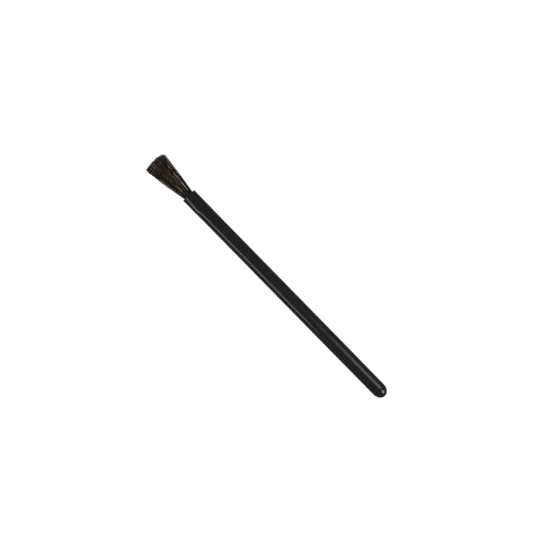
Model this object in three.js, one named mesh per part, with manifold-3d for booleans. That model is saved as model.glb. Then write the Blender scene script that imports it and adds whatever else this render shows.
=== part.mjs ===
// A slim lens-cleaning brush, lying on a table. The handle is one moulded plastic rod with a domed butt and a
// blind socket in its mouth. The tuft is hair folded in half over a flat anchor wire and driven into that socket.
//
// Millimetres. +X runs along the handle from the tuft to the butt, +Z is up, and the origin is on the handle's
// flat underside at the middle of its length. The anchor wire stands upright, so the folded hair leaves the
// socket in two halves, one on each side of it, and the tuft fans out wider in Y than in Z.

import * as THREE from 'three';
import { mergeVertices } from 'three/addons/utils/BufferGeometryUtils.js';
import Module from 'manifold-3d';

const wasm = await Module();
wasm.setup();

// Handle
const HANDLE_LENGTH = 127.3;
const HANDLE_SIDES = 36;
const RIM_RADIUS = 3.56;
const NECK_RADIUS = 3.5; // over the socket, which the packed hair stretches a little
const SHAFT_RADIUS = 3.43;
const BUTT_RADIUS = 3.37;
const RIM_BEVEL = 0.12;
const NECK_START = 3.5; // these and the swelling's places are distances from the mouth
const NECK_END = 10;
const SHAFT_START = 12.5;
const DRAFT_LENGTH = 30; // the shaft narrows over this length before the dome
const DOME_LENGTH = 4.1;
const DOME_STEPS = 8;
const SOCKET_RADIUS = 2.6;
const SOCKET_STEPS = 4;
const NECK_STATIONS = [RIM_BEVEL, 2, NECK_START, 5.5, 7.2, 8.2, 9.3, NECK_END, 10.5, SHAFT_START];

// Swelling in the socket's wall, on one side of the handle's top
const SWELL_HEIGHT = 0.26;
const SWELL_START = 0.5;
const SWELL_CREST = [7.2, 8.2];
const SWELL_END = 10.5;
const SWELL_ANGLE = THREE.MathUtils.degToRad(146); // from +Y, turning towards +Z
const SWELL_SPREAD = THREE.MathUtils.degToRad(15);

// Anchor wire
const ANCHOR_DEPTH = 7.9; // from the mouth to the wire's middle
const ANCHOR_LENGTH = 5.5;
const ANCHOR_WIDTH = 1.6;
const ANCHOR_THICKNESS = 0.44;
const ANCHOR_BEVEL = 0.3;
const ANCHOR_CLEARANCE = 0.25;

// Tuft
const ROOT_RADIUS = 2.42;
const TUFT_LENGTH = 22.1; // from the mouth to the middle of the tip
const FLARE_SLOPE = 0.198;
const FLARE_CURVE = 0.002;
const TUFT_THINNING = 0.22; // how much less the tuft fans out in Z than in Y at its tip
const TIP_ROUNDING = 0.75; // both corners of the tip stand back from its middle
const TIP_SLANT = 0.05; // the +Y corner stands further back, and the -Y corner less far
const CORNER_START = 0.8; // how far across the +Y half its shorter corner begins
const CORNER_CUT = 0.3;
const TIP_RAGGED = 0.35;
const LEAN_REACH = 0.47; // how far the tuft comes to stand towards -Y
const LEAN_LENGTH = 9; // how gradually it gets there
const LEAN_START = 2; // inside the mouth
const FOLD_CLEARANCE = 0.42; // from the anchor wire's middle plane to the nearest hair
const PART_CLEARANCE = 0.08; // the same, where the two halves come together outside the socket
const FOLD_INSET = 0.1; // from the anchor wire's far edge back to the middle of the folds
const TABLE_SOFTNESS = 0.4; // how gradually hair that meets the table turns to lie along it

// Locks
const RINGS = [
  { inner: 0, outer: 0.408, count: 3 },
  { inner: 0.408, outer: 0.707, count: 6 },
  { inner: 0.707, outer: 1, count: 9 },
]; // shares of the tuft's radius; each of their cells has the same area
const CELL_FILL = 0.88; // a lock's width as a share of its cell
const CELL_ARC_STEPS = 3;
const FREE_STATIONS = [1, 0.9, 0.7, 0.5, 0.32, 0.15, 0.05, 0]; // shares of the free length, from the tip
const SOCKET_STATIONS = [-2, -4.5, -7]; // distances from the mouth
const FOLD_TURNS = 7;
const TIP_TAPER = 0.72; // a lock's width at its tip
const GOLDEN_ANGLE = Math.PI * (3 - Math.sqrt(5));

// Places worked out from those
const FACET = Math.cos(Math.PI / HANDLE_SIDES);
const AXIS_HEIGHT = SHAFT_RADIUS * FACET;
const TABLE_HEIGHT = (SHAFT_RADIUS - RIM_RADIUS) * FACET; // the handle lies on the rim of its mouth
const MOUTH_X = -HANDLE_LENGTH / 2;
const BUTT_X = HANDLE_LENGTH / 2;
const ANCHOR_X = MOUTH_X + ANCHOR_DEPTH;
const FOLD_X = ANCHOR_X + ANCHOR_WIDTH / 2 - FOLD_INSET;

const WELD_DISTANCE = 1e-4; // corners closer than this are one corner

const handlePlastic = new THREE.MeshStandardMaterial({ color: 0x141518, roughness: 0.38, metalness: 0 });
const anchorMetal = new THREE.MeshStandardMaterial({ color: 0xb9b6ae, roughness: 0.35, metalness: 1 });
const hair = new THREE.MeshStandardMaterial({ color: 0x2a1d16, roughness: 0.7, metalness: 0 });

/** The solid inside a closed geometry. */
function solidOf(geometry) {
  const bare = geometry.clone();
  bare.deleteAttribute('normal');
  bare.deleteAttribute('uv');
  const merged = mergeVertices(bare, WELD_DISTANCE);
  const corners = merged.index.array;
  const faces = [];
  for (let i = 0; i < corners.length; i += 3) {
    const [a, b, c] = corners.slice(i, i + 3);
    if (a !== b && b !== c && c !== a) faces.push(a, b, c);
  }
  const mesh = { numProp: 3, vertProperties: merged.attributes.position.array, triVerts: Uint32Array.from(faces) };
  return new wasm.Manifold(new wasm.Mesh(mesh));
}

function geometryOf(solid) {
  const mesh = solid.getMesh();
  const geometry = new THREE.BufferGeometry();
  geometry.setAttribute('position', new THREE.BufferAttribute(mesh.vertProperties, 3));
  geometry.setIndex(new THREE.BufferAttribute(mesh.triVerts, 1));
  geometry.computeVertexNormals();
  return geometry;
}

/** A quarter ellipse of points in a lathe's (radius, height) plane, leaving out its first one. */
function quarterArc(centreHeight, radius, depth, fromAxis, steps) {
  const points = [];
  for (let i = 1; i <= steps; i += 1) {
    const turn = (fromAxis ? i / steps : 1 - i / steps) * (Math.PI / 2);
    points.push(new THREE.Vector2(radius * Math.sin(turn), centreHeight + depth * Math.cos(turn)));
  }
  return points;
}

/** The handle's radius this far from its mouth, as far as the end of the neck. */
function neckRadius(distance) {
  const { smoothstep, lerp } = THREE.MathUtils;
  if (distance < NECK_END) return lerp(RIM_RADIUS, NECK_RADIUS, smoothstep(distance, 0, NECK_START));
  return lerp(NECK_RADIUS, SHAFT_RADIUS, smoothstep(distance, NECK_END, SHAFT_START));
}

/** The handle's outline, from the bottom of the socket, out over the mouth and along to the butt. */
function handleProfile() {
  const point = (radius, height) => new THREE.Vector2(radius, height);
  return [
    point(0, FOLD_X + SOCKET_RADIUS),
    ...quarterArc(FOLD_X, SOCKET_RADIUS, SOCKET_RADIUS, true, SOCKET_STEPS),
    point(SOCKET_RADIUS, MOUTH_X),
    point(RIM_RADIUS - RIM_BEVEL, MOUTH_X),
    ...NECK_STATIONS.map((distance) => point(neckRadius(distance), MOUTH_X + distance)),
    point(SHAFT_RADIUS, BUTT_X - DOME_LENGTH - DRAFT_LENGTH),
    point(BUTT_RADIUS, BUTT_X - DOME_LENGTH),
    ...quarterArc(BUTT_X - DOME_LENGTH, BUTT_RADIUS, DOME_LENGTH, false, DOME_STEPS),
  ];
}

/** How far the wall swells out, this far from the mouth and at this angle round the handle. */
function swell(distance, angle) {
  const { smoothstep } = THREE.MathUtils;
  const before = smoothstep(distance, SWELL_START, SWELL_CREST[0]);
  const after = 1 - smoothstep(distance, SWELL_CREST[1], SWELL_END);
  const away = (angle - SWELL_ANGLE) / SWELL_SPREAD;
  return SWELL_HEIGHT * before * after * Math.exp((-away * away) / 2);
}

/** The rod about the X axis, with a flat facet facing down and the swelling raised on its outside. */
function handleRod() {
  const rod = new THREE.LatheGeometry(handleProfile(), HANDLE_SIDES, Math.PI / HANDLE_SIDES);
  rod.rotateZ(-Math.PI / 2);
  const places = rod.attributes.position;
  for (let i = 0; i < places.count; i += 1) {
    const radius = Math.hypot(places.getY(i), places.getZ(i));
    if (radius < NECK_RADIUS) continue;
    const raised = 1 + swell(places.getX(i) - MOUTH_X, Math.atan2(places.getZ(i), places.getY(i))) / radius;
    places.setY(i, places.getY(i) * raised);
    places.setZ(i, places.getZ(i) * raised);
  }
  return rod;
}

/** The slot that the anchor wire's ends bite into. Between them it runs through the open socket. */
function anchorSlot() {
  const slot = new THREE.BoxGeometry(
    ANCHOR_WIDTH + 2 * ANCHOR_CLEARANCE,
    ANCHOR_THICKNESS + 2 * ANCHOR_CLEARANCE,
    ANCHOR_LENGTH + ANCHOR_CLEARANCE,
  );
  return slot.translate(ANCHOR_X, 0, 0);
}

function handleGeometry() {
  return geometryOf(solidOf(handleRod()).subtract(solidOf(anchorSlot())));
}

/** A length of flat wire, its leading corners bevelled where they were driven into the wall. */
function anchorGeometry() {
  const halfLength = ANCHOR_LENGTH / 2;
  const halfWidth = ANCHOR_WIDTH / 2;
  const outline = new THREE.Shape([
    new THREE.Vector2(-halfWidth, -halfLength),
    new THREE.Vector2(halfWidth - ANCHOR_BEVEL, -halfLength),
    new THREE.Vector2(halfWidth, ANCHOR_BEVEL - halfLength),
    new THREE.Vector2(halfWidth, halfLength - ANCHOR_BEVEL),
    new THREE.Vector2(halfWidth - ANCHOR_BEVEL, halfLength),
    new THREE.Vector2(-halfWidth, halfLength),
  ]);
  const wire = new THREE.ExtrudeGeometry(outline, { depth: ANCHOR_THICKNESS, bevelEnabled: false });
  wire.translate(0, 0, -ANCHOR_THICKNESS / 2);
  wire.rotateX(Math.PI / 2);
  return wire.translate(ANCHOR_X, 0, 0);
}

/** The tuft's half width in Y, this far out of the mouth. */
function flare(distance) {
  const free = Math.max(0, distance);
  return ROOT_RADIUS + FLARE_SLOPE * free - FLARE_CURVE * free * free;
}

/** How far the nearest hair keeps from the tuft's middle plane, which the anchor wire lies in. */
function parting(distance) {
  const depth = THREE.MathUtils.clamp(distance / SOCKET_STATIONS.at(-1), 0, 1);
  return THREE.MathUtils.lerp(PART_CLEARANCE, FOLD_CLEARANCE, depth);
}

/** Hair that would pass through the table turns to lie along it. The order of heights is kept. */
function aboveTable(height) {
  const over = (height - TABLE_HEIGHT) / TABLE_SOFTNESS;
  return TABLE_HEIGHT + TABLE_SOFTNESS * Math.log(1 + Math.exp(over));
}

/**
 * A point of the tuft. across and up are its place in the half disc of one half, as shares of its radius, and
 * side is -1 or 1 for the half towards -Y or +Y.
 */
function tuftPoint(distance, across, up, side) {
  const width = flare(distance);
  const gap = parting(distance);
  const lean = LEAN_REACH * (1 - Math.exp(-Math.max(0, distance + LEAN_START) / LEAN_LENGTH));
  const thinning = 1 - (TUFT_THINNING * Math.max(0, distance)) / TUFT_LENGTH;
  const y = side * (gap + across * (width - gap)) - lean;
  const z = AXIS_HEIGHT + up * width * thinning;
  return new THREE.Vector3(MOUTH_X - distance, y, distance > 0 ? aboveTable(z) : z);
}

/** A point of the fold, where the hair turns round the anchor wire's lower edge from -Y to +Y. */
function foldPoint(turn, across, up) {
  const reach = FOLD_CLEARANCE + across * (ROOT_RADIUS - FOLD_CLEARANCE);
  return new THREE.Vector3(
    FOLD_X + reach * Math.sin(turn),
    -reach * Math.cos(turn),
    AXIS_HEIGHT + up * ROOT_RADIUS,
  );
}

/** The corners of one cell of the half disc, as { across, up } points about the cell's middle. */
function cellOutline(ring, place) {
  const step = Math.PI / ring.count;
  const low = place * step - Math.PI / 2;
  const at = (radius, angle) => new THREE.Vector2(radius * Math.cos(angle), radius * Math.sin(angle));
  const corners = [];
  for (let i = CELL_ARC_STEPS; i >= 0; i -= 1) corners.push(at(ring.outer, low + (step * i) / CELL_ARC_STEPS));
  corners.push(at(ring.inner, low));
  if (ring.inner > 0) corners.push(at(ring.inner, low + step));
  const middle = new THREE.Vector2();
  for (const corner of corners) middle.add(corner);
  middle.divideScalar(corners.length);
  return { middle, corners: corners.map((corner) => corner.clone().sub(middle)) };
}

/** A closed solid through rings of points, each with as many points as the next, and a flat cap at each end. */
function loft(rings) {
  const sides = rings[0].length;
  const index = [];
  for (let ring = 0; ring + 1 < rings.length; ring += 1) {
    for (let side = 0; side < sides; side += 1) {
      const here = ring * sides + side;
      const next = ring * sides + ((side + 1) % sides);
      index.push(here, next, here + sides, next, next + sides, here + sides);
    }
  }
  const last = (rings.length - 1) * sides;
  for (let side = 1; side + 1 < sides; side += 1) {
    index.push(0, side + 1, side);
    index.push(last, last + side, last + side + 1);
  }
  const geometry = new THREE.BufferGeometry();
  geometry.setFromPoints(rings.flat());
  geometry.setIndex(index);
  geometry.computeVertexNormals();
  return geometry;
}

/** How far out of the mouth one leg of a lock reaches. */
function legLength(across, side, number) {
  const corner = side > 0 && across > CORNER_START ? CORNER_CUT : 0;
  const ragged = TIP_RAGGED * Math.sin(GOLDEN_ANGLE * (2 * number + side));
  return TUFT_LENGTH - TIP_ROUNDING * across * across - TIP_SLANT * side * across - corner + ragged;
}

/** One lock: in from its tip on the -Y side, round the anchor wire, and out to its tip on the +Y side. */
function lockGeometry(ring, place, number) {
  const { middle, corners } = cellOutline(ring, place);
  const section = (fill, toPoint) =>
    corners.map((corner) => toPoint(middle.x + corner.x * fill, middle.y + corner.y * fill));
  const leg = (side) => {
    const length = legLength(middle.x, side, number);
    const free = FREE_STATIONS.map((share) => ({ distance: share * length, tip: share === 1 }));
    const held = SOCKET_STATIONS.map((distance) => ({ distance, tip: false }));
    return [...free, ...held].map(({ distance, tip }) =>
      section(tip ? CELL_FILL * TIP_TAPER : CELL_FILL, (across, up) => tuftPoint(distance, across, up, side)),
    );
  };
  const fold = [];
  for (let i = 0; i <= FOLD_TURNS; i += 1) {
    const turn = (Math.PI * i) / FOLD_TURNS;
    fold.push(section(CELL_FILL, (across, up) => foldPoint(turn, across, up)));
  }
  return loft([...leg(-1), ...fold, ...leg(1).reverse()]);
}

function named(name, geometry, material) {
  const mesh = new THREE.Mesh(geometry, material);
  mesh.name = name;
  return mesh;
}

/** Pieces made about the handle's own axis are lifted to its height above the origin. */
function handleAndAnchor() {
  const onAxis = new THREE.Group();
  onAxis.position.z = AXIS_HEIGHT;
  onAxis.add(named('handle', handleGeometry(), handlePlastic));
  onAxis.add(named('anchor_wire', anchorGeometry(), anchorMetal));
  return onAxis;
}

function hairLocks() {
  const tuft = new THREE.Group();
  let number = 0;
  for (const ring of RINGS) {
    for (let place = 0; place < ring.count; place += 1) {
      number += 1;
      const name = `hair_lock_${String(number).padStart(2, '0')}`;
      tuft.add(named(name, lockGeometry(ring, place, number), hair));
    }
  }
  return tuft;
}

const brush = new THREE.Group();
brush.add(handleAndAnchor(), hairLocks());

export default brush;
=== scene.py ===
import math
import random
from collections import namedtuple

import bpy
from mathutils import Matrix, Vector


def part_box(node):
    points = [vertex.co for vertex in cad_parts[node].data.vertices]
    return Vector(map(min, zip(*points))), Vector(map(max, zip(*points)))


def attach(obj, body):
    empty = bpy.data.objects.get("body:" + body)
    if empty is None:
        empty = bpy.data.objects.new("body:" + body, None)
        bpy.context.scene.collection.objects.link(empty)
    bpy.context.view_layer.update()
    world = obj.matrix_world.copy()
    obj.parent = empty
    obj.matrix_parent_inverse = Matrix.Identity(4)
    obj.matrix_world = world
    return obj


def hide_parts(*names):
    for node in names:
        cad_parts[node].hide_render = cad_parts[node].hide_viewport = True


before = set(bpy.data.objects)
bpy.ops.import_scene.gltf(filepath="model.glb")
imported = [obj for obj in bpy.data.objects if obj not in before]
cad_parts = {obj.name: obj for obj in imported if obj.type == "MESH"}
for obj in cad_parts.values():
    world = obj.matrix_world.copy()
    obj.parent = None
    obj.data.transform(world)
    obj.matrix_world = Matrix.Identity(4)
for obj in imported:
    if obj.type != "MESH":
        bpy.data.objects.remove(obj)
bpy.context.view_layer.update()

MM = 0.001

# ---- places, from the frame ----------------------------------------------------------------------
HANDLE_LOW, HANDLE_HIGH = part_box("handle")
MOUTH_X = HANDLE_LOW.x
BUTT_X = HANDLE_HIGH.x
AXIS_Z = (HANDLE_LOW.z + HANDLE_HIGH.z) / 2
TABLE_Z = HANDLE_LOW.z

# The hair turns back just inside the wire's far edge
FOLD_INSET = 0.1 * MM
FOLD_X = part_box("anchor_wire")[1].x - FOLD_INSET

# ---- handle dimensions ---------------------------------------------------------------------------
RIM_RADIUS = 3.56 * MM
NECK_RADIUS = 3.5 * MM
SHAFT_RADIUS = 3.43 * MM
BUTT_RADIUS = 3.37 * MM
SOCKET_RADIUS = 2.6 * MM
NECK_START = 3.5 * MM
NECK_END = 10 * MM
SHAFT_START = 12.5 * MM
DRAFT_LENGTH = 30 * MM
DOME_LENGTH = 4.1 * MM
RIM_ROUND = 0.16 * MM
SWELL_HEIGHT = 0.26 * MM
SWELL_START = 0.5 * MM
SWELL_CREST = (7.2 * MM, 8.2 * MM)
SWELL_END = 10.5 * MM
SWELL_ANGLE = math.radians(146)
SWELL_SPREAD = math.radians(15)

# The fine ridges that the two halves of the mould leave
PARTING_TILT = math.radians(12)
PARTING_HEIGHT = 0.022 * MM
PARTING_SPREAD = math.radians(1.1)
PARTING_PLACES = (-1.0, -0.45, 0.0, 0.45, 1.0)
PARTING_CLEAR = 1.4

HANDLE_SIDES = 120
SOCKET_STEPS = 8
SOCKET_STATIONS = (0.75, 0.5, 0.25, 0.1)
RIM_STEPS = 6
NECK_STEPS = 32
SHAFT_STEPS = 56
DOME_STEPS = 28

# ---- tuft dimensions -----------------------------------------------------------------------------
ROOT_RADIUS = 2.42 * MM
TUFT_LENGTH = 22.1 * MM
FLARE_SLOPE = 0.198
FLARE_CURVE = 0.002 / MM
TUFT_THINNING = 0.22
TIP_ROUNDING = 0.75 * MM
TIP_SLANT = 0.05 * MM
CORNER_START = 0.8
CORNER_CUT = 0.3 * MM
LEAN_REACH = 0.47 * MM
LEAN_LENGTH = 9 * MM
LEAN_START = 2 * MM
FOLD_CLEARANCE = 0.3 * MM
PART_CLEARANCE = 0.03 * MM
TABLE_SOFTNESS = 0.4 * MM
HELD_DEPTH = 7 * MM
HELD_STATIONS = (2.5 * MM, 5.5 * MM)

# Rings of locks: from and to, as shares of the tuft's radius, and how many locks
LOCK_RINGS = ((0.0, 0.408, 3), (0.408, 0.707, 6), (0.707, 1.0, 9))

# ---- hairs ---------------------------------------------------------------------------------------
SEED = 26000
HAIRS_PER_LOCK = 48
PLACE_TRIES = 12
HAIR_RADIUS = 0.052 * MM
HAIR_SIZES = (0.8, 1.15)
COARSE_HAIRS = 0.09
COARSE_RADIUS = 0.085 * MM
TIP_TAPER = 0.5
HAIR_RAGGED = 0.18 * MM
SHORT_HAIRS = 0.07
SHORT_BY = (0.5, 4.0)
HAIR_SWING = 0.2 * MM
STRAY_HAIRS = 0.012
STRAY_SWING = 0.9 * MM
SWING_WAVES = (0.5, 1.3)
HAIR_SIDES = 5
FREE_STEPS = 14
STEP_CROWDING = 0.9
FOLD_STEPS = 5

# Wisps, which each leg of a lock parts into
WISPS_PER_LEG = 6
WISP_TONES = (0.08, 0.28, 0.45, 0.6, 0.75, 0.95)
WISP_SHARE = 0.7
WISP_PULL = (0.5, 0.95)
WISP_RAGGED = 0.16 * MM
WISP_DRIFT = 0.17 * MM
WISP_WAVE = 0.1
WISP_TURNS = (1.5, 4.0)

# ---- hair colour ---------------------------------------------------------------------------------
# Streaks of hair lit up by a painted highlight: their hairs are lifted to the palest tone. side is 1 in
# the half towards +Y, and start and end are distances from the mouth.
PAINTED_HIGHLIGHT_STREAKS = (
    {"side": 1, "across": 0.56, "up": 0.8, "start": 0.5 * MM, "end": 11.5 * MM},
    {"side": -1, "across": 0.82, "up": 0.5, "start": 9.7 * MM, "end": 14.8 * MM},
    {"side": 1, "across": 0.95, "up": 0.25, "start": 16 * MM, "end": 25 * MM},
)
HIGHLIGHT_STREAK_WIDTH = 0.08
DARK_FROM = 0.04
DARK_SHARE = 0.15
STREAK_FADE = 1.6 * MM
STREAK_RAGGED = 1.2 * MM

# Painted shade and dust by the mouth: the hair there is darker and greyer.
MOUTH_SHADE = 0.38
MOUTH_SHADE_REACH = {-1: (0.12, 0.24), 1: (0.12, 0.1)}  # in the core, at the edge
TIP_PALENESS = 0.08
TIP_PALE_FROM = 0.55
TIP_PALE_OVER = 0.4
TIP_GREYNESS = 0.55
TIP_GREY_FROM = 0.45
TIP_GREY_OVER = 0.5
EDGE_GREY_FROM = 0.35
EDGE_GREY_OVER = 0.35

# Soft patches in the tuft's tone. at runs across the tuft, from -1 at its -Y edge to 1 at its +Y edge.
TONE_PATCHES = (
    {"at": -0.9, "reach": 0.33, "width": 0.25, "length": 0.25, "paler": 0.32},
    {"at": -0.38, "reach": 0.52, "width": 0.25, "length": 0.18, "paler": -0.14},
    {"at": 0.0, "reach": 0.27, "width": 0.24, "length": 0.12, "paler": 0.12},
)

# (tone, colour) stops
BROWN_TONES = (
    (0.2, (0.002, 0.0012, 0.0007)),
    (0.5, (0.022, 0.0125, 0.0056)),
    (0.8, (0.11, 0.062, 0.028)),
    (1.0, (0.62, 0.56, 0.47)),
)
GREY_TONES = (
    (0.2, (0.003, 0.0023, 0.0017)),
    (0.5, (0.0202, 0.0174, 0.0145)),
    (0.8, (0.084, 0.072, 0.060)),
    (1.0, (0.42, 0.39, 0.33)),
)

# ---- camera and floor ----------------------------------------------------------------------------
FRAME_WIDTH = 249.5 * MM
CAMERA_TURN = math.radians(45.61)
CAMERA_AIM = Vector((MOUTH_X + 53.17 * MM, 2.72 * MM, AXIS_Z))
CAMERA_LENS = 200
SENSOR_WIDTH = 36
FLOOR_SIZE = 1.2

# A wisp's place in the half disc, its hairs' tone, the wave in that tone, and how the wisp strays
Wisp = namedtuple("Wisp", "across up tone wave extra drift")
# A point along a hair, its share of the way from mouth to tip, its tone, and 0 for brown to 1 for grey
Step = namedtuple("Step", "point reach tone grey", defaults=(0.0, 0.0, 1.0))


def smooth(x):
    """0 to 1 with a soft start and end."""
    x = min(1.0, max(0.0, x))
    return x * x * (3 - 2 * x)


def mesh_object(name, vertices, faces, material):
    mesh = bpy.data.meshes.new(name)
    mesh.from_pydata([tuple(v) for v in vertices], [], faces)
    mesh.update()
    mesh.polygons.foreach_set("use_smooth", [True] * len(mesh.polygons))
    mesh.materials.append(material)
    made = bpy.data.objects.new(name, mesh)
    bpy.context.scene.collection.objects.link(made)
    return made


# ---- handle --------------------------------------------------------------------------------------
def outer_radius(distance):
    """The handle's radius this far from its mouth, up to where the dome starts."""
    if distance < NECK_END:
        return RIM_RADIUS + (NECK_RADIUS - RIM_RADIUS) * smooth(distance / NECK_START)
    fall = smooth((distance - NECK_END) / (SHAFT_START - NECK_END))
    draft = max(0.0, (distance - (BUTT_X - MOUTH_X - DOME_LENGTH)) / DRAFT_LENGTH + 1)
    return NECK_RADIUS - (NECK_RADIUS - SHAFT_RADIUS) * fall - (SHAFT_RADIUS - BUTT_RADIUS) * draft


def swell(distance, angle):
    """How far the socket's wall swells out, on one side of the handle's top."""
    before = smooth((distance - SWELL_START) / (SWELL_CREST[0] - SWELL_START))
    after = 1 - smooth((distance - SWELL_CREST[1]) / (SWELL_END - SWELL_CREST[1]))
    away = (angle - SWELL_ANGLE) / SWELL_SPREAD
    return SWELL_HEIGHT * before * after * math.exp(-away * away / 2)


def arc(steps):
    """(cosine, sine) pairs round a quarter turn."""
    turns = [math.pi / 2 * i / steps for i in range(steps + 1)]
    return [(math.cos(turn), math.sin(turn)) for turn in turns]


def socket_outline():
    """(x, radius) points from the bottom of the socket to its mouth."""
    bottom = [(FOLD_X + SOCKET_RADIUS * c, SOCKET_RADIUS * s) for c, s in arc(SOCKET_STEPS)]
    wall = [(MOUTH_X + (FOLD_X - MOUTH_X) * share, SOCKET_RADIUS) for share in SOCKET_STATIONS]
    rounding = [(RIM_ROUND * (1 - s), RIM_ROUND * (1 - c)) for c, s in arc(RIM_STEPS)]
    return bottom + wall + [(MOUTH_X + inward, SOCKET_RADIUS + outward) for inward, outward in rounding]


def between(start, end, steps):
    """Even stations after start, up to and with end."""
    return [start + (end - start) * i / steps for i in range(1, steps + 1)]


def outer_outline():
    """(x, radius) points from the mouth's rim, along the handle and over its domed butt."""
    dome_start = BUTT_X - MOUTH_X - DOME_LENGTH
    stations = between(RIM_ROUND, SHAFT_START, NECK_STEPS)
    stations += between(SHAFT_START, dome_start, SHAFT_STEPS)
    rounding = [(RIM_ROUND * (1 - c), RIM_ROUND * (1 - s)) for c, s in arc(RIM_STEPS)]
    rim = [(MOUTH_X + inward, RIM_RADIUS - lower) for inward, lower in rounding]
    sides = [(MOUTH_X + distance, outer_radius(distance)) for distance in stations]
    dome = [(BUTT_X - DOME_LENGTH * (1 - s), BUTT_RADIUS * c) for c, s in arc(DOME_STEPS)[1:]]
    return rim + sides + dome


def ring_angles():
    """Angles round the handle, closer together over the mould's two ridges."""
    angles = [2 * math.pi * i / HANDLE_SIDES for i in range(HANDLE_SIDES)]
    for ridge in (PARTING_TILT, PARTING_TILT + math.pi):
        angles = [angle for angle in angles if abs(angle - ridge) > PARTING_CLEAR * PARTING_SPREAD]
        angles += [ridge + PARTING_SPREAD * place for place in PARTING_PLACES]
    return sorted(angles)


def ridge(angle):
    away = min(abs(angle - PARTING_TILT), abs(angle - PARTING_TILT - math.pi))
    return PARTING_HEIGHT * (1 - smooth(away / PARTING_SPREAD))


def relief(x, radius, angle):
    """How far the handle's outside stands out from its round outline. The ridges fade over the dome."""
    return ridge(angle) * min(1.0, radius / SHAFT_RADIUS) + swell(x - MOUTH_X, angle)


def on_ring(x, radius, angle):
    return x, radius * math.cos(angle), AXIS_Z + radius * math.sin(angle)


def make_handle():
    inside, outside, angles = socket_outline(), outer_outline(), ring_angles()
    vertices, faces = [], []
    for x, radius in inside[1:]:
        vertices += [on_ring(x, radius, angle) for angle in angles]
    for x, radius in outside[:-1]:
        vertices += [on_ring(x, radius + relief(x, radius, angle), angle) for angle in angles]
    count, last = len(angles), len(vertices) - len(angles)
    for first in range(0, last, count):
        for k in range(count):
            a, b = first + k, first + (k + 1) % count
            faces.append((a, b, b + count, a + count))
    bottom, top = len(vertices), len(vertices) + 1
    vertices += [(inside[0][0], 0.0, AXIS_Z), (outside[-1][0], 0.0, AXIS_Z)]
    for k in range(count):
        faces.append((bottom, (k + 1) % count, k))
        faces.append((top, last + k, last + (k + 1) % count))
    return mesh_object("brush_handle", vertices, faces, plastic_material())


# ---- tuft ----------------------------------------------------------------------------------------
def flare(distance):
    """The tuft's half width in Y, this far out of the mouth."""
    free = max(0.0, distance)
    return ROOT_RADIUS + FLARE_SLOPE * free - FLARE_CURVE * free * free


def above_table(height):
    """Hair that would pass through the table turns to lie along it."""
    over = (height - TABLE_Z) / TABLE_SOFTNESS
    return TABLE_Z + TABLE_SOFTNESS * math.log1p(math.exp(over))


def tuft_point(distance, across, up, side):
    """A point of the tuft, this far out of the mouth. across and up are its place in the half disc."""
    width = flare(distance)
    depth = min(1.0, max(0.0, -distance / HELD_DEPTH))
    gap = PART_CLEARANCE + (FOLD_CLEARANCE - PART_CLEARANCE) * depth
    lean = LEAN_REACH * (1 - math.exp(-max(0.0, distance + LEAN_START) / LEAN_LENGTH))
    y = side * (gap + across * (width - gap)) - lean
    thinning = 1 - TUFT_THINNING * max(0.0, distance) / TUFT_LENGTH
    z = AXIS_Z + up * width * thinning
    return Vector((MOUTH_X - distance, y, above_table(z) if distance > 0 else z))


def fold_point(turn, across, up):
    """A point where the hair turns round the anchor wire's lower edge."""
    reach = FOLD_CLEARANCE + across * (ROOT_RADIUS - FOLD_CLEARANCE)
    return Vector((FOLD_X + reach * math.sin(turn), -reach * math.cos(turn), AXIS_Z + up * ROOT_RADIUS))


def hair_places(ring, place, rng):
    """Places of one lock's hairs in the half disc, spread evenly over the lock's cell."""
    inner, outer, count = ring
    step = math.pi / count
    low = place * step - math.pi / 2
    chosen = []
    while len(chosen) < HAIRS_PER_LOCK:
        best, best_gap = None, -1.0
        for _ in range(PLACE_TRIES):
            radius = math.sqrt(rng.uniform(inner * inner, outer * outer))
            angle = rng.uniform(low, low + step)
            spot = (radius * math.cos(angle), radius * math.sin(angle))
            gap = min((math.dist(spot, other) for other in chosen), default=math.inf)
            if gap > best_gap:
                best, best_gap = spot, gap
        chosen.append(best)
    return chosen


def leg_length(side, wisp, across, rng):
    """How far out of the mouth one leg of a hair reaches."""
    length = TUFT_LENGTH - TIP_ROUNDING * across * across - TIP_SLANT * side * across
    if side > 0 and across > CORNER_START:
        length -= CORNER_CUT
    if rng.random() < SHORT_HAIRS:
        length -= rng.uniform(*SHORT_BY) * MM
    return length + wisp.extra + rng.gauss(0, HAIR_RAGGED)


def belongs(streak, spot, side):
    return side == streak["side"] and math.dist(spot, (streak["across"], streak["up"])) < HIGHLIGHT_STREAK_WIDTH


def in_streak(spot, side):
    return any(belongs(streak, spot, side) for streak in PAINTED_HIGHLIGHT_STREAKS)


def with_painted_highlights(tone, side, spot, distance):
    """A hair's tone this far out of the mouth, lifted by the painted highlight in a streak. Between a
    pale streak and the edge the hair is dark.
    """
    for streak in PAINTED_HIGHLIGHT_STREAKS:
        into = smooth(min(distance - streak["start"], streak["end"] - distance) / STREAK_FADE)
        if belongs(streak, spot, side):
            # painted highlight: the streak's hairs run up to the palest tone
            tone += (1.0 - tone) * into
        elif side == streak["side"] and spot[0] > streak["across"] + DARK_FROM:
            tone *= 1 - (1 - DARK_SHARE) * into
    return tone


def shade_reach(side, across):
    """The share of a hair, from the mouth, that is darker and greyer with painted shade and dust."""
    core, edge = MOUTH_SHADE_REACH[side]
    return core + (edge - core) * across


def greyness(side, across, reach):
    """0 where the hair is brown, 1 where it is grey: by the mouth with painted shade and dust, on the -Y
    edge and near the tip.
    """
    by_mouth = 1 - smooth(reach / shade_reach(side, across))
    by_edge = smooth((across - EDGE_GREY_FROM) / EDGE_GREY_OVER) if side < 0 else 0.0
    by_tip = TIP_GREYNESS * smooth((reach - TIP_GREY_FROM) / TIP_GREY_OVER)
    return max(by_mouth, by_edge, by_tip)


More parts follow.
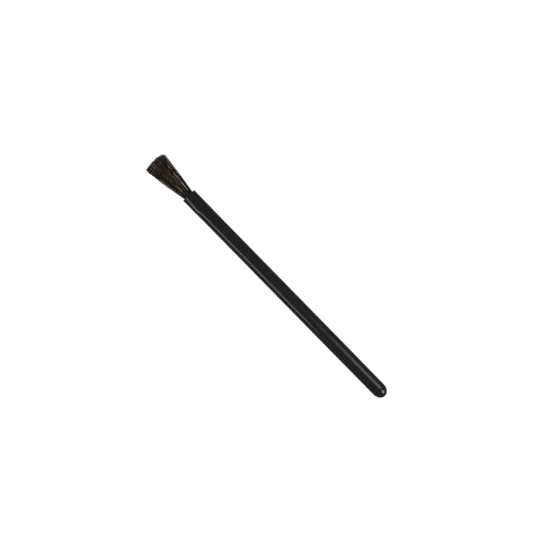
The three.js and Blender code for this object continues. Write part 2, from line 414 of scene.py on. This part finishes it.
def paleness(side, across, reach):
    """How much paler than its own tone a hair is near its tip and in the tuft's soft patches."""
    paler = TIP_PALENESS * smooth((reach - TIP_PALE_FROM) / TIP_PALE_OVER)
    for patch in TONE_PATCHES:
        sideways = (side * across - patch["at"]) / patch["width"]
        along = (reach - patch["reach"]) / patch["length"]
        paler += patch["paler"] * math.exp(-(sideways * sideways + along * along) / 2)
    return paler


def toned(own_tone, wisp, side, spot, reach, distance):
    """A hair's tone here, with its wisp's wave, the tuft's patches, the streaks' painted highlight, and
    painted shade and dust darkening the root.
    """
    start, turns = wisp.wave
    tone = own_tone + WISP_WAVE * math.sin(2 * math.pi * (start + turns * reach))
    tone += paleness(side, spot[0], reach)
    tone = with_painted_highlights(tone, side, spot, distance)
    # painted shade and dust: darker towards the mouth
    return tone - MOUTH_SHADE * max(0.0, 1 - reach / shade_reach(side, spot[0]))


def gathered_point(spot, side, wisp, distance, drawn):
    """A point of a hair that is drawn this far towards its wisp."""
    across = spot[0] + (wisp.across - spot[0]) * drawn
    up = spot[1] + (wisp.up - spot[1]) * drawn
    return tuft_point(distance, across, up, side)


def leg_path(spot, side, wisp, rng):
    """Steps along one free leg of a hair, from the mouth to its tip."""
    length = leg_length(side, wisp, spot[0], rng)
    pull, drift = rng.uniform(*WISP_PULL), wisp.drift
    if in_streak(spot, side):
        pull, drift = 0.0, Vector()
    swing = STRAY_SWING if rng.random() < STRAY_HAIRS else HAIR_SWING
    sway = Vector((0, rng.gauss(0, swing), rng.gauss(0, swing)))
    phase, waves = rng.uniform(0, 2 * math.pi), rng.uniform(*SWING_WAVES)
    own_tone = rng.random() * (1 - WISP_SHARE) + wisp.tone * WISP_SHARE
    ragged = rng.gauss(0, STREAK_RAGGED)
    path = []
    for i in range(FREE_STEPS + 1):
        reach = (i / FREE_STEPS) ** STEP_CROWDING
        point = gathered_point(spot, side, wisp, reach * length, pull * reach)
        swaying = sway * reach * math.sin(phase + waves * math.pi * reach)
        point += swaying + drift * math.sin(math.pi * reach)
        point.z = max(point.z, TABLE_Z + HAIR_RADIUS)
        tone = toned(own_tone, wisp, side, spot, reach, reach * length + ragged)
        path.append(Step(point, reach, tone, greyness(side, spot[0], reach)))
    return path


def hair_path(spot, wisps, rng):
    """Steps along a doubled hair: tip, -Y leg, fold, +Y leg, tip."""
    across, up = spot
    legs = {side: leg_path(spot, side, wisps[side], rng) for side in (-1, 1)}
    held = {side: [tuft_point(-depth, across, up, side) for depth in HELD_STATIONS] for side in (-1, 1)}
    fold = [fold_point(math.pi * i / FOLD_STEPS, across, up) for i in range(FOLD_STEPS + 1)]
    return legs[-1][::-1] + [Step(point) for point in held[-1] + fold + held[1][::-1]] + legs[1]


def sweep(path, radius, vertices, faces):
    """Adds a thin tapered tube along path, with a closed blunt tip at each end."""
    first, last = len(vertices), len(vertices) + (len(path) - 1) * HAIR_SIDES
    normal = Vector((0, 0, 1))
    for i, step in enumerate(path):
        ahead, behind = path[min(i + 1, len(path) - 1)].point, path[max(i - 1, 0)].point
        tangent = (ahead - behind).normalized()
        normal = (normal - tangent * normal.dot(tangent)).normalized()
        binormal = tangent.cross(normal)
        thick = radius * (1 - TIP_TAPER * step.reach ** 3)
        for k in range(HAIR_SIDES):
            turn = 2 * math.pi * k / HAIR_SIDES
            vertices.append(step.point + (normal * math.cos(turn) + binormal * math.sin(turn)) * thick)
    for start in range(first, last, HAIR_SIDES):
        for k in range(HAIR_SIDES):
            a, b = start + k, start + (k + 1) % HAIR_SIDES
            faces.append((a, b, b + HAIR_SIDES, a + HAIR_SIDES))
    faces.append(tuple(first + k for k in reversed(range(HAIR_SIDES))))
    faces.append(tuple(last + k for k in range(HAIR_SIDES)))


def leg_wisps(spots, rng):
    """The wisps that one leg of a lock parts into, each gathered about one of its hairs."""
    wisps = []
    centres = rng.sample(spots, WISPS_PER_LEG)
    for (across, up), tone in zip(centres, rng.sample(WISP_TONES, WISPS_PER_LEG)):
        turns = rng.uniform(*WISP_TURNS)
        start = rng.random()
        drift = Vector((0, rng.gauss(0, WISP_DRIFT), rng.gauss(0, WISP_DRIFT)))
        wisps.append(Wisp(across, up, tone, (start, turns), rng.gauss(0, WISP_RAGGED), drift))
    return wisps


def nearest(wisps, spot):
    return min(wisps, key=lambda wisp: math.dist((wisp.across, wisp.up), spot))


def strand_radius(spot, rng):
    if in_streak(spot, -1) or in_streak(spot, 1) or rng.random() < COARSE_HAIRS:
        return COARSE_RADIUS
    return HAIR_RADIUS * rng.uniform(*HAIR_SIZES)


def make_lock(number, ring, place, material):
    """One lock of the tuft: hairs doubled round the anchor wire, in wisps outside the mouth."""
    rng = random.Random(SEED + number)
    spots = hair_places(ring, place, rng)
    wisps = {side: leg_wisps(spots, rng) for side in (-1, 1)}
    vertices, faces, tones, greys = [], [], [], []
    for spot in spots:
        path = hair_path(spot, {side: nearest(wisps[side], spot) for side in (-1, 1)}, rng)
        sweep(path, strand_radius(spot, rng), vertices, faces)
        tones += [step.tone for step in path for _ in range(HAIR_SIDES)]
        greys += [step.grey for step in path for _ in range(HAIR_SIDES)]
    lock = mesh_object(f"tuft_lock_{number:02d}", vertices, faces, material)
    for name, values in (("strand_tone", tones), ("strand_grey", greys)):
        lock.data.attributes.new(name, "FLOAT", "POINT").data.foreach_set("value", values)
    return lock


def make_tuft():
    material = hair_material()
    locks = []
    for ring in LOCK_RINGS:
        for place in range(ring[2]):
            number = len(locks) + 1
            lock = make_lock(number, ring, place, material)
            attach(lock, "root")
            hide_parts(f"hair_lock_{number:02d}")
            locks.append(lock)
    return locks


# ---- materials -----------------------------------------------------------------------------------
def new_material(name):
    material = bpy.data.materials.new(name)
    material.use_nodes = True
    tree = material.node_tree
    return material, tree, tree.nodes["Principled BSDF"]


def add(tree, kind, inputs=None, **settings):
    """A new node with its settings and inputs. An input is a number, a colour or a node's output."""
    node = tree.nodes.new(kind)
    for name, value in settings.items():
        setattr(node, name, value)
    for name, value in (inputs or {}).items():
        if isinstance(value, bpy.types.NodeSocket):
            tree.links.new(value, node.inputs[name])
        else:
            node.inputs[name].default_value = value
    return node


def ramp(tree, factor, stops):
    """A colour that runs through (position, colour) stops."""
    node = add(tree, "ShaderNodeValToRGB", {"Fac": factor})
    elements = node.color_ramp.elements
    while len(elements) < len(stops):
        elements.new(0.5)
    for element, (position, colour) in zip(elements, stops):
        element.position = position
        element.color = (*colour, 1)
    return node.outputs["Color"]


def noise(tree, scale, detail, stretch=(1.0, 1.0, 1.0)):
    """Noise in the object's own space, which each part of stretch below 1 draws out along its axis."""
    place = add(tree, "ShaderNodeTexCoord").outputs["Object"]
    mapped = add(tree, "ShaderNodeMapping", {"Vector": place, "Scale": stretch}).outputs["Vector"]
    settings = {"Vector": mapped, "Scale": scale, "Detail": detail}
    return add(tree, "ShaderNodeTexNoise", settings).outputs["Fac"]


def spread(tree, value, source, target):
    """The value, taken from one range to another."""
    ends = {"From Min": source[0], "From Max": source[1], "To Min": target[0], "To Max": target[1]}
    return add(tree, "ShaderNodeMapRange", {"Value": value, **ends}).outputs["Result"]


def total(tree, first, second, **settings):
    return add(tree, "ShaderNodeMath", {0: first, 1: second}, operation="ADD", **settings).outputs[0]


def blend(tree, factor, first, second):
    node = add(tree, "ShaderNodeMix", {"Factor": factor}, data_type="RGBA")
    colours = [socket for socket in node.inputs if socket.type == "RGBA"]
    tree.links.new(first, colours[0])
    tree.links.new(second, colours[1])
    return next(socket for socket in node.outputs if socket.type == "RGBA")


def plastic_material():
    """Near-black moulded plastic with a satin shine, faint drag lines and a fine grain."""
    material, tree, shader = new_material("satin_black_plastic")
    mottle = noise(tree, scale=220.0, detail=4.0)
    drag = noise(tree, scale=5200.0, detail=2.0, stretch=(0.03, 1.0, 1.0))
    grain = noise(tree, scale=6500.0, detail=1.0)
    colour = ramp(tree, mottle, [(0.35, (0.003, 0.0031, 0.0035)), (0.7, (0.007, 0.0072, 0.0078))])
    rough = spread(tree, total(tree, mottle, drag), source=(0.7, 1.3), target=(0.14, 0.22))
    height = total(tree, drag, grain)
    bump = add(tree, "ShaderNodeBump", {"Height": height, "Strength": 0.3, "Distance": 0.004 * MM})
    tree.links.new(colour, shader.inputs["Base Color"])
    tree.links.new(rough, shader.inputs["Roughness"])
    tree.links.new(bump.outputs["Normal"], shader.inputs["Normal"])
    return material


def hair_material():
    """Dark natural hair. Each strand has its own tone, browner in some places and greyer in others. The
    tones also carry the streaks' painted highlight and the painted shade by the mouth.
    """
    material, tree, shader = new_material("dark_natural_hair")
    tone = add(tree, "ShaderNodeAttribute", attribute_name="strand_tone").outputs["Fac"]
    grey = add(tree, "ShaderNodeAttribute", attribute_name="strand_grey").outputs["Fac"]
    patches = noise(tree, scale=3500.0, detail=2.0, stretch=(0.2, 1.0, 1.0))
    variation = spread(tree, patches, source=(0.3, 0.7), target=(-0.27, 0.25))
    shade = total(tree, tone, variation, use_clamp=True)
    colour = blend(tree, grey, ramp(tree, shade, BROWN_TONES), ramp(tree, shade, GREY_TONES))
    tree.links.new(colour, shader.inputs["Base Color"])
    shader.inputs["Roughness"].default_value = 0.4
    shader.inputs["Specular IOR Level"].default_value = 0.2
    return material


def wire_material():
    """Bright flat wire with fine lines along it from the drawing die."""
    material, tree, shader = new_material("drawn_flat_wire")
    lines = noise(tree, scale=9000.0, detail=2.0, stretch=(1.0, 1.0, 0.05))
    colour = ramp(tree, lines, [(0.3, (0.45, 0.43, 0.4)), (0.7, (0.62, 0.6, 0.56))])
    tree.links.new(colour, shader.inputs["Base Color"])
    shader.inputs["Metallic"].default_value = 1.0
    shader.inputs["Roughness"].default_value = 0.32
    return material


def seen_or_not(tree, seen, unseen):
    """One value to the camera and another to everything else."""
    to_camera = add(tree, "ShaderNodeLightPath").outputs["Is Camera Ray"]
    return spread(tree, to_camera, source=(0.0, 1.0), target=(unseen, seen))


def floor_material():
    """A white floor. It gives the brush less light than a real one would, so that it stays black."""
    material, tree, shader = new_material("pale_floor")
    tree.links.new(seen_or_not(tree, seen=0.93, unseen=0.17), shader.inputs["Base Color"])
    shader.inputs["Roughness"].default_value = 0.9
    shader.inputs["Specular IOR Level"].default_value = 0.1
    return material


# ---- stage ---------------------------------------------------------------------------------------
def make_camera():
    """A long lens straight above the brush, turned so that the brush lies from corner to corner."""
    data = bpy.data.cameras.new("camera")
    data.lens, data.sensor_width = CAMERA_LENS, SENSOR_WIDTH
    camera = bpy.data.objects.new("camera", data)
    bpy.context.scene.collection.objects.link(camera)
    camera.location = CAMERA_AIM + Vector((0, 0, FRAME_WIDTH * CAMERA_LENS / SENSOR_WIDTH))
    camera.rotation_euler = (0, 0, CAMERA_TURN)
    bpy.context.scene.camera = camera


def panel(name, centre, size, power):
    """A flat light that faces straight down."""
    data = bpy.data.lights.new(name, "AREA")
    data.shape = "RECTANGLE"
    data.size, data.size_y = size
    data.energy = power
    lamp = bpy.data.objects.new(name, data)
    bpy.context.scene.collection.objects.link(lamp)
    lamp.location = centre
    return lamp


def softbox(name, centre, aim, side, power):
    """A square light that faces a point."""
    lamp = panel(name, centre, (side, side), power)
    back = (Vector(centre) - Vector(aim)).normalized()
    lamp.rotation_mode = "QUATERNION"
    lamp.rotation_quaternion = back.to_track_quat("Z", "Y")
    return lamp


def strip(name, ends, angle, distance, width, power):
    """A light along the handle, this many degrees from straight above it, towards +Y where positive."""
    turn = math.radians(angle)
    offset = Vector((0, math.sin(turn), math.cos(turn))) * distance
    middle = Vector((sum(ends) / 2, 0, AXIS_Z))
    lamp = panel(name, middle + offset, (ends[1] - ends[0], width), power)
    lamp.rotation_euler = (-turn, 0, 0)
    return lamp


def collection_of(name, objects):
    made = bpy.data.collections.new(name)
    for item in objects:
        made.objects.link(item)
    return made


def light_only(lamp, receivers, blockers=None):
    """The lamp lights only these objects. Where blockers are given, only they cast its shadows."""
    linking = lamp.light_linking
    linking.receiver_collection = collection_of(f"{lamp.name}_receivers", receivers)
    if blockers is not None:
        linking.blocker_collection = collection_of(f"{lamp.name}_blockers", blockers)


def make_lights(floor, handle, locks):
    """The handle's two long highlights and its butt's bright spot each have a light of their own."""
    window = strip("window_light", (-0.35, 0.021), angle=-56, distance=0.15, width=0.04, power=0.145)
    room = strip("room_light", (0.052, 0.115), angle=35, distance=0.42, width=0.3, power=0.15)
    dome, mouth = (BUTT_X, 0, AXIS_Z), (MOUTH_X, 0, AXIS_Z)
    butt = softbox("butt_light", centre=(0.44, 0.19, 0.27), aim=dome, side=0.32, power=1.5)
    tuft = softbox("hair_light", centre=(-0.03, 0.05, 0.42), aim=mouth, side=0.06, power=0.54)
    overhead = panel("floor_light", centre=(0, 0, 1.6), size=(2.4, 2.4), power=43)
    for lamp in (window, room, butt):
        light_only(lamp, [handle])
    light_only(tuft, locks)
    light_only(overhead, [floor], blockers=[floor])


def make_world():
    world = bpy.data.worlds.new("studio")
    world.use_nodes = True
    tree = world.node_tree
    background = tree.nodes["Background"]
    background.inputs["Color"].default_value = (1, 1, 1, 1)
    tree.links.new(seen_or_not(tree, seen=1.0, unseen=0.27), background.inputs["Strength"])
    bpy.context.scene.world = world


def make_floor():
    half = FLOOR_SIZE / 2
    corners = [(x, y, TABLE_Z) for x, y in ((-half, -half), (half, -half), (half, half), (-half, half))]
    floor = mesh_object("floor", corners, [(0, 1, 2, 3)], floor_material())
    return floor


def dress_wire():
    """The anchor wire keeps its own shape and gets a material with lines along it."""
    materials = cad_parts["anchor_wire"].data.materials
    materials.clear()
    materials.append(wire_material())


bpy.context.scene.view_settings.view_transform = "Standard"
handle = make_handle()
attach(handle, "root")
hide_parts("handle")
locks = make_tuft()
dress_wire()
make_camera()
make_world()
make_lights(make_floor(), handle, locks)
